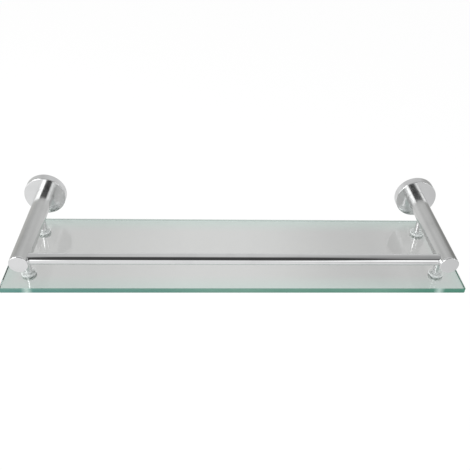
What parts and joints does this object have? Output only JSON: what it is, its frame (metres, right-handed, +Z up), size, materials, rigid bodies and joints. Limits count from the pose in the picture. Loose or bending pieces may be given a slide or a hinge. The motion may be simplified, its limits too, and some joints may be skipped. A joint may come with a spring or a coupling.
{
  "type": "wall-mounted glass shelf",
  "caption": "Wall-mounted clear glass shelf hung under two polished round arms on posts, with a slim guard rail across the front and round covers over the wall fixings.",
  "frame": {"origin": "on the wall plane, at the centre of the four wall screw holes: half way between the arms and level with the arm axes", "axes": "+X along the shelf, +Y into the wall, +Z up; the room side is at negative Y"},
  "size_m": [0.5, 0.14, 0.0668],
  "materials": {
    "polished_chrome": "polished bright chrome plate on brass",
    "clear_glass": "clear tempered float glass with ground and polished edges",
    "clear_plastic": "clear moulded plastic",
    "plated_steel": "zinc-plated steel",
    "brass": "turned brass, as machined"
  },
  "bodies": {
    "root": {"glass_shelf": "clear_glass", "guard_rail": "polished_chrome", "arm_tube_left": "polished_chrome", "arm_tube_right": "polished_chrome", "arm_end_cap_left": "polished_chrome", "arm_end_cap_right": "polished_chrome", "arm_root_plug_left": "brass", "arm_root_plug_right": "brass", "arm_root_screws": "plated_steel", "flange_cup_left": "polished_chrome", "flange_cup_right": "polished_chrome", "flange_grub_screws": "plated_steel", "wall_plate_left": "plated_steel", "wall_plate_right": "plated_steel", "post_front_left": "polished_chrome", "post_rear_left": "polished_chrome", "post_front_right": "polished_chrome", "post_rear_right": "polished_chrome", "upper_washers": "clear_plastic", "glass_sleeves": "clear_plastic", "lower_washers": "clear_plastic", "glass_screws": "polished_chrome"}
  },
  "joints": []
}
